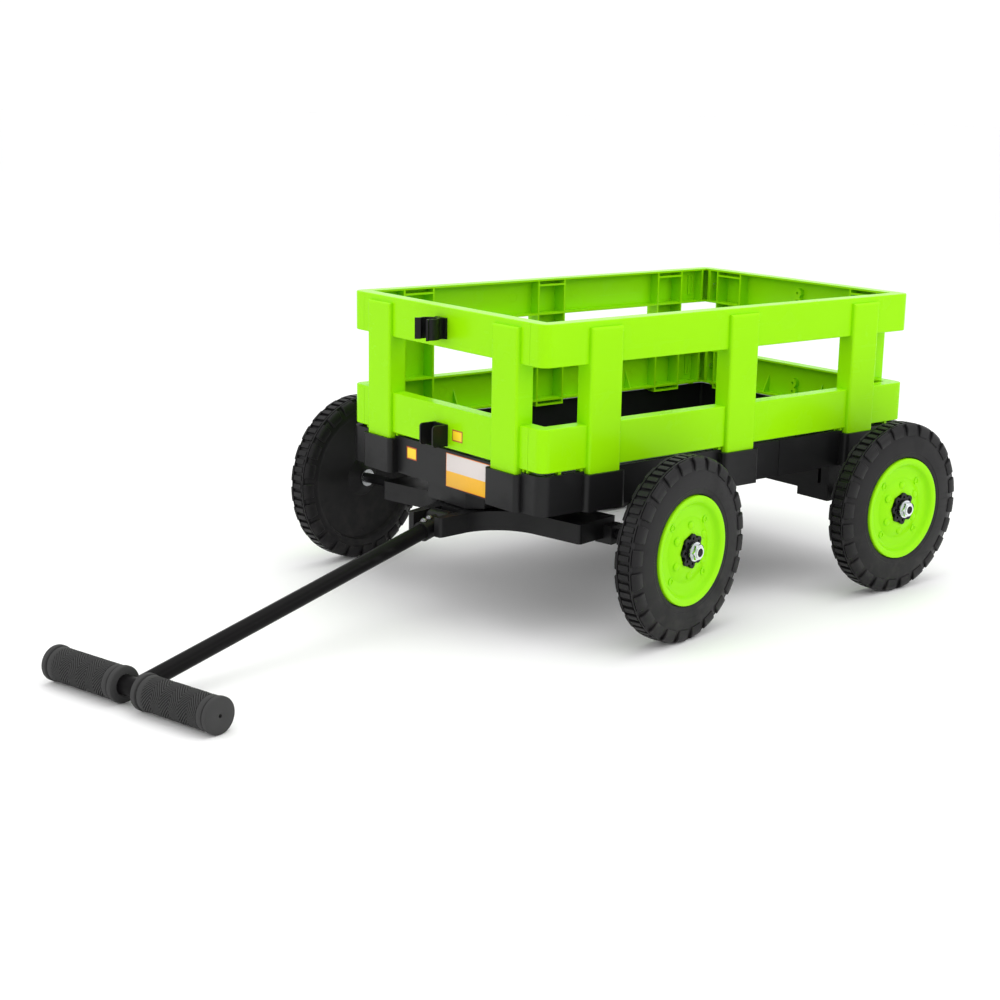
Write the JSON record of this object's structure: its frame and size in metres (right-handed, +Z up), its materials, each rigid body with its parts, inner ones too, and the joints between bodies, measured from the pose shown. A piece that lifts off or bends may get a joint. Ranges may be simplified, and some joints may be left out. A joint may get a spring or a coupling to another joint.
{
  "type": "garden pull cart",
  "caption": "Four-wheeled pull cart with a slatted open box on a moulded tray, a steered front axle and a tilting T-handle that rests on the ground.",
  "frame": {"origin": "on the ground under the middle of the overall box of the cart as it stands, handle down", "axes": "+Z up, +Y towards the cart's rear, the handle points to -Y, +X to the right as seen from the handle end looking at the cart; the box is square to the axes and the front wheels and handle are steered 10.4 degrees"},
  "size_m": [0.5917, 1.1344, 0.367],
  "materials": {
    "green_plastic": "glossy injection-moulded lime green polypropylene with softly rounded edges",
    "green_rim": "satin lime green wheel insert",
    "black_plastic": "satin charcoal moulded plastic with a fine grain",
    "wheel_black": "dull charcoal blow-moulded plastic",
    "hub_black": "black moulded nylon",
    "clip_black": "black moulded plastic with a light sheen",
    "grip_rubber": "matt rubber with a moulded chevron pattern",
    "black_paint": "semi-gloss black powder coat on steel tube",
    "axle_steel": "black oxide steel",
    "dark_steel": "black zinc-plated steel",
    "zinc": "bright zinc-plated steel",
    "label_film": "printed vinyl film, blank"
  },
  "bodies": {
    "bed": {"left_panel": "green_plastic", "right_panel": "green_plastic", "front_panel": "green_plastic", "rear_panel": "green_plastic", "tray": "black_plastic", "panel_corner_screws": "zinc", "upper_clip": "clip_black", "lower_clip": "clip_black", "clip_screws": "zinc", "labels": "label_film", "steering_mount": "black_plastic", "mount_screws": "zinc", "steering_bearing": "black_plastic", "kingpin": "zinc", "kingpin_washer": "zinc", "kingpin_nut": "zinc", "rear_axle_beam": "black_plastic", "rear_beam_screws": "zinc", "rear_axle": "axle_steel", "rear_washers": "zinc", "rear_nuts": "zinc", "rear_spacers": "hub_black"},
    "carriage": {"steering_carriage": "black_plastic", "front_axle": "axle_steel", "hitch_bolt": "dark_steel", "hitch_nut": "dark_steel", "front_washers": "zinc", "front_nuts": "zinc", "front_spacers": "hub_black"},
    "handle": {"pole_knuckle": "clip_black", "knuckle_screws": "dark_steel", "draw_pole": "black_paint", "cross_tube": "black_paint", "grip_right": "grip_rubber", "grip_left": "grip_rubber"},
    "wheel_front_right": {"tyre_front_right": "wheel_black", "rim_front_right": "green_rim", "hub_front_right": "hub_black"},
    "wheel_front_left": {"tyre_front_left": "wheel_black", "rim_front_left": "green_rim", "hub_front_left": "hub_black"},
    "wheel_rear_right": {"tyre_rear_right": "wheel_black", "rim_rear_right": "green_rim", "hub_rear_right": "hub_black"},
    "wheel_rear_left": {"tyre_rear_left": "wheel_black", "rim_rear_left": "green_rim", "hub_rear_left": "hub_black"}
  },
  "joints": [
    {"name": "steering", "type": "hinge", "parent": "bed", "child": "carriage", "pos_m": [-0.00255, 0.05317, 0.1275], "axis": [0, 0, 1], "range_deg": [-30.4, 9.6]},
    {"name": "handle_tilt", "type": "hinge", "parent": "carriage", "child": "handle", "pos_m": [0.02164, -0.07863, 0.1145], "axis": [-0.9836, -0.1805, 0], "range_deg": [0, 87]},
    {"name": "wheel_front_right_spin", "type": "hinge", "parent": "carriage", "child": "wheel_front_right", "pos_m": [0.26179, 0.08643, 0.109], "axis": [0.9836, 0.1805, 0], "continuous": true},
    {"name": "wheel_front_left_spin", "type": "hinge", "parent": "carriage", "child": "wheel_front_left", "pos_m": [-0.26147, -0.00961, 0.109], "axis": [0.9836, 0.1805, 0], "continuous": true},
    {"name": "wheel_rear_right_spin", "type": "hinge", "parent": "bed", "child": "wheel_rear_right", "pos_m": [0.26345, 0.45817, 0.109], "axis": [1, 0, 0], "continuous": true},
    {"name": "wheel_rear_left_spin", "type": "hinge", "parent": "bed", "child": "wheel_rear_left", "pos_m": [-0.26855, 0.45817, 0.109], "axis": [1, 0, 0], "continuous": true}
  ]
}
